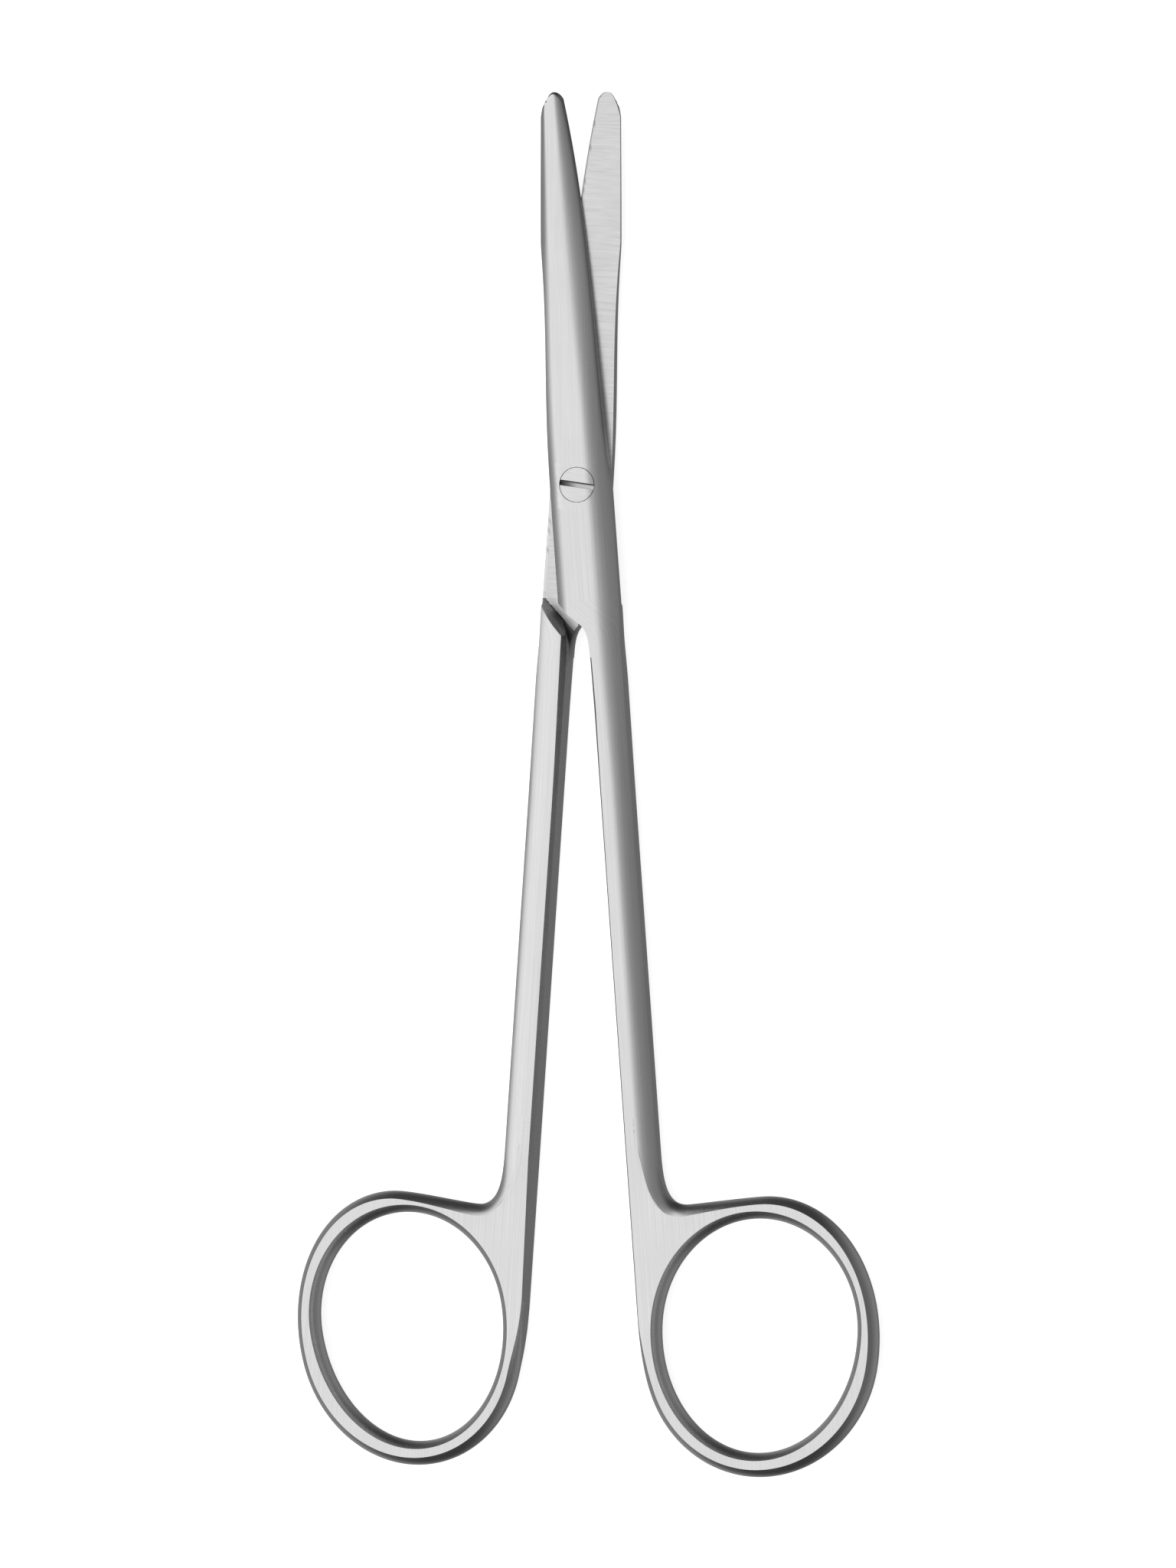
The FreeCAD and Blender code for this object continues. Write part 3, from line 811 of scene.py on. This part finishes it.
def close_seams(mesh):
    """Join the patches of a mesh where they meet, fill what is left open, and turn its faces outward."""
    seams = bmesh.new()
    seams.from_mesh(mesh)
    bmesh.ops.remove_doubles(seams, verts=seams.verts, dist=WELD)
    bmesh.ops.dissolve_degenerate(seams, edges=seams.edges, dist=SMALLEST_EDGE)
    bmesh.ops.holes_fill(seams, edges=seams.edges, sides=HOLE_SIDES)
    bmesh.ops.recalc_face_normals(seams, faces=seams.faces)
    seams.to_mesh(mesh)
    seams.free()


def make_mesh(name, shell, place):
    """Object with the shell's surface, moved by place, its seams closed and its creases kept crisp."""
    points, grain, faces, finish, dull = shell.arrays()
    points = points @ np.array(place)[:3, :3].T + np.array(place)[:3, 3]
    mesh = bpy.data.meshes.new(name)
    mesh.from_pydata((points * MM).tolist(), [], faces.tolist())
    layer = mesh.uv_layers.new(name="grain")
    layer.data.foreach_set("uv", grain[faces.ravel()].astype(np.float32).ravel())
    mesh.attributes.new("dull", "FLOAT", "POINT").data.foreach_set("value", dull.astype(np.float32))
    mesh.polygons.foreach_set("material_index", finish.astype(np.int32))
    close_seams(mesh)
    mesh.shade_smooth()
    mesh.set_sharp_from_angle(angle=math.radians(SHARP_ANGLE))
    piece = bpy.data.objects.new(name, mesh)
    bpy.context.scene.collection.objects.link(piece)
    return piece


def place_of(turned_over, angle):
    """Matrix that takes a closed half to its place: turned over or not, opened, lifted to the parting."""
    over = Matrix.Rotation(math.pi, 4, "Y") if turned_over else Matrix.Identity(4)
    return Matrix.Translation((0, 0, PARTING)) @ Matrix.Rotation(math.radians(angle), 4, "Z") @ over


def front_half():
    """The half on top at the joint, with the screw's countersunk seat."""
    head = HEAD_RADIUS + HEAD_GAP
    journal = JOURNAL_RADIUS + RUNNING_GAP
    rim_low = PARTING - BASE - HEAD_RIM
    bore = [(head, None), (head, rim_low), (journal, rim_low - (head - journal)), (journal, BASE)]
    return make_mesh("front_forging", half_shell(FRONT_HOLE, bore), place_of(False, OPENING / 2))


def back_half():
    """The lower half, with the screw's tapped hole."""
    hole = THREAD_RADIUS + THREAD_GAP
    bore = [(hole, None), (hole, BASE)]
    return make_mesh("back_forging", half_shell(BACK_HOLE, bore), place_of(True, -OPENING / 2))


def screw_head(shell, low):
    """Head of the screw down to a height, in sections across it, along its slot.

    Each section runs over the crowned top, down one wall of the slot, across its floor and up the other.
    The floor rises as a parabola to both ends of the slot, as a round saw leaves it, and in a quarter round
    to one wall. Where the slot is wider than the head's chord, the section is only the floor.
    """
    half_slot = SLOT_WIDTH / 2
    x = HEAD_RADIUS * np.cos(np.linspace(math.pi, 0, HEAD_SECTIONS))
    chord = np.sqrt(np.maximum(HEAD_RADIUS**2 - x**2, 0))
    lip = np.minimum(chord, half_slot)
    ys = np.concatenate((-chord[:, None], between(-chord, -lip, HEAD_STEPS), between(-lip, lip, SLOT_STEPS),
                         between(lip, chord, HEAD_STEPS), chord[:, None]), 1)
    xs = np.broadcast_to(x[:, None], ys.shape)
    columns = np.arange(ys.shape[1])
    in_slot = (columns > HEAD_STEPS) & (columns <= HEAD_STEPS + SLOT_STEPS)
    to_wall = ys / half_slot - SLOT_MIDDLE
    to_ends = SLOT_RISE * (xs / HEAD_RADIUS) ** 2
    to_side = SLOT_ROUND * np.clip(to_wall / (1 - SLOT_MIDDLE), 0, 1) ** 2
    floor = PARTING - SLOT_DEPTH + to_ends + to_side
    crown = crown_height(*turned(*turned(xs, ys, SLOT_TURN), -OPENING / 2))
    zs = np.where(in_slot | (chord <= half_slot)[:, None], floor, crown)
    zs[:, [0, -1]] = low
    # Painted shade in the slot: some all over, more towards its left end, and a painted shadow under its
    # upper wall
    left = np.clip(-xs / HEAD_RADIUS - SLOT_MIDDLE, 0, 1)
    upper = np.clip(to_wall / SLOT_SHADOW_REACH, 0, 1)
    dull = np.maximum(SLOT_PAINTED_SHADE + SLOT_SHADE_LEFT * left, SLOT_SHADOW_WALL * upper)
    dull = np.clip(np.where(in_slot, dull, 0.0), 0, PAINTED_SHADE_MOST)
    points = np.stack((*turned(xs, ys, SLOT_TURN), zs), 2)
    shell.add(points, np.stack((xs, ys), 2), closed=True, dull=dull)


def slotted_screw():
    """Pivot screw: its slotted head, and below it a turned stem of cone, journal and thread."""
    shell = Shell()
    low = PARTING - BASE - HEAD_RIM
    screw_head(shell, low)
    cone_low = low - HEAD_RADIUS + JOURNAL_RADIUS
    profile = np.array([(0.0, low), (HEAD_RADIUS, low), (JOURNAL_RADIUS, cone_low), (JOURNAL_RADIUS, -BASE),
                        (THREAD_RADIUS, -BASE), (THREAD_RADIUS, -PARTING), (0.0, -PARTING)])
    a = np.linspace(0, 2 * math.pi, STEM_STEPS, endpoint=False)
    radius, height = profile[:, :1], profile[:, 1:]
    heights = np.broadcast_to(height, (len(profile), STEM_STEPS))
    stem = np.stack((radius * np.cos(a), radius * np.sin(a), heights), 2)
    shell.add(stem, stem[..., :2], closed=True)
    return make_mesh("slotted_screw", shell, Matrix.Translation((0, 0, PARTING)))


def add_node(tree, kind, inputs=None, **settings):
    """New node in a tree. Each input is given by its name or place, and is another's output or a value."""
    node = tree.nodes.new(kind)
    for name, value in settings.items():
        setattr(node, name, value)
    for key, value in (inputs or {}).items():
        if isinstance(value, bpy.types.NodeSocket):
            tree.links.new(value, node.inputs[key])
        else:
            node.inputs[key].default_value = value
    return node


def math_node(tree, operation, *values):
    """Output of a math node on one or two values."""
    return add_node(tree, "ShaderNodeMath", dict(enumerate(values)), operation=operation).outputs[0]


def mapped(tree, value, source, low, high, **settings):
    """Value spread from the source's range to low and high, and held there."""
    inputs = {"Value": value, "From Min": source[0], "From Max": source[1], "To Min": low, "To Max": high}
    return add_node(tree, "ShaderNodeMapRange", inputs, **settings).outputs["Result"]


def grey(shade):
    """Colour of a grey shade."""
    return (shade, shade, shade, 1)


def noise(tree, x, y, detail, roughness):
    """Output of a noise over two coordinates, one cell to a unit."""
    place = add_node(tree, "ShaderNodeCombineXYZ", {0: x, 1: y}).outputs[0]
    inputs = {"Vector": place, "Scale": 1.0, "Detail": detail, "Roughness": roughness}
    return add_node(tree, "ShaderNodeTexNoise", inputs).outputs["Fac"]


def brushed_grain():
    """Shader group: fine streaks along the grain coordinates, and cloudy variation."""
    group = bpy.data.node_groups.new("brushed grain", "ShaderNodeTree")
    for name in ("Along", "Across"):
        group.interface.new_socket(name, in_out="INPUT", socket_type="NodeSocketFloat")
    for name in ("Streaks", "Clouds"):
        group.interface.new_socket(name, in_out="OUTPUT", socket_type="NodeSocketFloat")
    counts = add_node(group, "NodeGroupInput").outputs
    grain = add_node(group, "ShaderNodeUVMap", uv_map="grain")
    split = add_node(group, "ShaderNodeSeparateXYZ", {0: grain.outputs["UV"]}).outputs
    along = math_node(group, "MULTIPLY", split[0], counts["Along"])
    across = math_node(group, "MULTIPLY", split[1], counts["Across"])
    cloud_along = math_node(group, "MULTIPLY", split[0], CLOUDS_TO_A_MM)
    cloud_across = math_node(group, "MULTIPLY", split[1], CLOUDS_TO_A_MM)
    streaks = noise(group, along, across, detail=4.0, roughness=0.6)
    clouds = noise(group, cloud_along, cloud_across, detail=3.0, roughness=0.5)
    add_node(group, "NodeGroupOutput", {"Streaks": streaks, "Clouds": clouds})
    return group


def steel(name, group, finish):
    """Steel with a brushed finish: streaks vary its shade and are cut in, clouds vary its roughness.

    Where the mesh carries painted shade, its colour darkens towards the painted shade's grey.
    """
    material = bpy.data.materials.new(name)
    material.use_nodes = True
    tree = material.node_tree
    counts = {"Along": finish.along, "Across": finish.across}
    grain = add_node(tree, "ShaderNodeGroup", counts, node_tree=group).outputs
    streaks, clouds = grain["Streaks"], grain["Clouds"]
    dull = add_node(tree, "ShaderNodeAttribute", attribute_name="dull")
    brushed = add_node(tree, "ShaderNodeMix", {
        "Factor": mapped(tree, streaks, NOISE_RANGE, 0.0, 1.0),
        "A": grey(finish.shade * (1 - finish.contrast)),
        "B": grey(finish.shade * (1 + finish.contrast))}, data_type="RGBA")
    # Painted shade: the mesh's attribute darkens the brushed colour towards a grey
    colour = add_node(tree, "ShaderNodeMix", {
        "Factor": dull.outputs["Fac"],
        "A": brushed.outputs["Result"],
        "B": grey(PAINTED_SHADE_GREY)}, data_type="RGBA")
    roughness = mapped(tree, clouds, NOISE_RANGE, finish.roughness * (1 - CLOUD_CONTRAST),
                       finish.roughness * (1 + CLOUD_CONTRAST))
    relief = add_node(tree, "ShaderNodeBump", {
        "Strength": 1.0, "Distance": finish.depth * MM, "Height": streaks})
    surface = tree.nodes["Principled BSDF"]
    surface.inputs["Metallic"].default_value = 1.0
    tree.links.new(colour.outputs["Result"], surface.inputs["Base Color"])
    tree.links.new(roughness, surface.inputs["Roughness"])
    tree.links.new(relief.outputs["Normal"], surface.inputs["Normal"])
    return material


def finish_pieces(front, back, screw):
    """Materials on the pieces: brushed outside, cross-ground inner blade faces, and turned bores painted
    near black as painted shade in the gaps round the screw.
    """
    group = brushed_grain()
    satin = steel("satin_steel", group, SATIN)
    ground = steel("cross_ground_steel", group, CROSS_GROUND)
    painted_shade_bore = steel("painted_shade_bore_steel", group, PAINTED_SHADE_BORE)
    head = steel("screw_steel", group, SCREW_HEAD)
    for piece in (front, back):
        for material in (satin, ground, painted_shade_bore):
            piece.data.materials.append(material)
    screw.data.materials.append(head)
    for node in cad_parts.values():
        node.data.materials.clear()
        node.data.materials.append(satin)


def floor_plane():
    """White floor, wide enough for every view. The steel doesn't mirror it, as on a cut-out ground."""
    mesh = bpy.data.meshes.new("floor")
    half, low = FLOOR_HALF * MM, -FLOOR_DROP * MM
    corners = [(-half, -half, low), (half, -half, low), (half, half, low), (-half, half, low)]
    mesh.from_pydata(corners, [], [(0, 1, 2, 3)])
    plane = bpy.data.objects.new("floor", mesh)
    bpy.context.scene.collection.objects.link(plane)
    material = bpy.data.materials.new("white_floor")
    material.use_nodes = True
    surface = material.node_tree.nodes["Principled BSDF"]
    surface.inputs["Base Color"].default_value = grey(FLOOR_SHADE)
    surface.inputs["Roughness"].default_value = FLOOR_ROUGHNESS
    surface.inputs["Specular IOR Level"].default_value = FLOOR_SPECULAR
    surface.inputs["Emission Color"].default_value = grey(1)
    surface.inputs["Emission Strength"].default_value = FLOOR_GLOW
    plane.data.materials.append(material)
    plane.visible_glossy = False


def surround():
    """World: a wide soft light above and to the left that fades to the right, and a dim ground below.

    The bearing across the scissors picks the brightness from SKY. Low down towards both of their ends it
    fades to SKY_ENDS. The camera sees it white.
    """
    world = bpy.data.worlds.new("surround")
    world.use_nodes = True
    tree = world.node_tree
    direction = add_node(tree, "ShaderNodeTexCoord").outputs["Generated"]
    split = add_node(tree, "ShaderNodeSeparateXYZ", {0: direction}).outputs
    bearing = math_node(tree, "ARCTAN2", split["X"], split["Z"])
    turn = mapped(tree, bearing, (-math.pi, math.pi), 0.0, 1.0)
    sky = add_node(tree, "ShaderNodeValToRGB", {"Fac": turn})
    stops = sky.color_ramp.elements
    stops[0].position, stops[1].position = 0.0, 1.0
    for angle, _ in SKY[1:-1]:
        stops.new((angle + 180) / 360)
    for stop, (_, shade) in zip(stops, SKY):
        stop.color = grey(shade)
    ends = math_node(tree, "ABSOLUTE", split["Y"])
    at_ends = mapped(tree, ends, SKY_END_FADE, 0.0, 1.0, interpolation_type="SMOOTHSTEP")
    low = mapped(tree, split["Z"], SKY_LOW_FADE, 0.0, 1.0, interpolation_type="SMOOTHSTEP")
    faded = math_node(tree, "MULTIPLY", at_ends, low)
    shade = add_node(tree, "ShaderNodeMix", {"Factor": faded, "A": sky.outputs["Color"], "B": SKY_ENDS})
    level = math_node(tree, "MULTIPLY", shade.outputs["Result"], SKY_BRIGHTNESS)
    path = add_node(tree, "ShaderNodeLightPath")
    seen = add_node(tree, "ShaderNodeMix", {
        "Factor": path.outputs["Is Camera Ray"], "A": level, "B": SEEN_BRIGHTNESS})
    background = tree.nodes["Background"]
    background.inputs["Color"].default_value = grey(1)
    tree.links.new(seen.outputs["Result"], background.inputs["Strength"])
    bpy.context.scene.world = world


def camera():
    """Camera of the photograph: tilted over to the right from straight down, and far away."""
    tilt = math.radians(CAMERA_TILT)
    toward = Vector((math.sin(tilt), 0, math.cos(tilt)))
    right = Vector((math.cos(tilt), 0, -math.sin(tilt)))
    side = (right - CAMERA_ROLL * Vector((0, 1, 0))).normalized()
    data = bpy.data.cameras.new("camera")
    data.lens, data.sensor_width = LENS, SENSOR
    data.clip_start, data.clip_end = CLIP_START, CLIP_END
    eye = bpy.data.objects.new("camera", data)
    place = Vector(CAMERA_TARGET) * MM + toward * (VIEW_HEIGHT * MM * LENS / SENSOR)
    turn = Matrix((side, toward.cross(side), toward)).transposed()
    eye.matrix_world = Matrix.Translation(place) @ turn.to_4x4()
    bpy.context.scene.collection.objects.link(eye)
    bpy.context.scene.camera = eye


def ride_and_replace(front, back, screw):
    """Each piece rides on its body and stands for its solid."""
    for piece, body, node, slot in ((front, "upper_half", "front_half", "forged_steel"),
                                    (back, "lower_half", "back_half", "forged_steel"),
                                    (screw, "lower_half", "pivot_screw", "screw_steel")):
        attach(piece, body)
        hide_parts(node)


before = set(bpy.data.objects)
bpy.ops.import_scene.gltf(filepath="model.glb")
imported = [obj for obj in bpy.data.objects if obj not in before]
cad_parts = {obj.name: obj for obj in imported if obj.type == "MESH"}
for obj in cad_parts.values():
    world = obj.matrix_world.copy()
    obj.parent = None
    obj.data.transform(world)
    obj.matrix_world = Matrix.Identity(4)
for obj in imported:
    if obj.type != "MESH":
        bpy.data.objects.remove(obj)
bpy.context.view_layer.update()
front, back, screw = front_half(), back_half(), slotted_screw()
ride_and_replace(front, back, screw)
finish_pieces(front, back, screw)
floor_plane()
surround()
bpy.context.scene.view_settings.view_transform = "Standard"
camera()
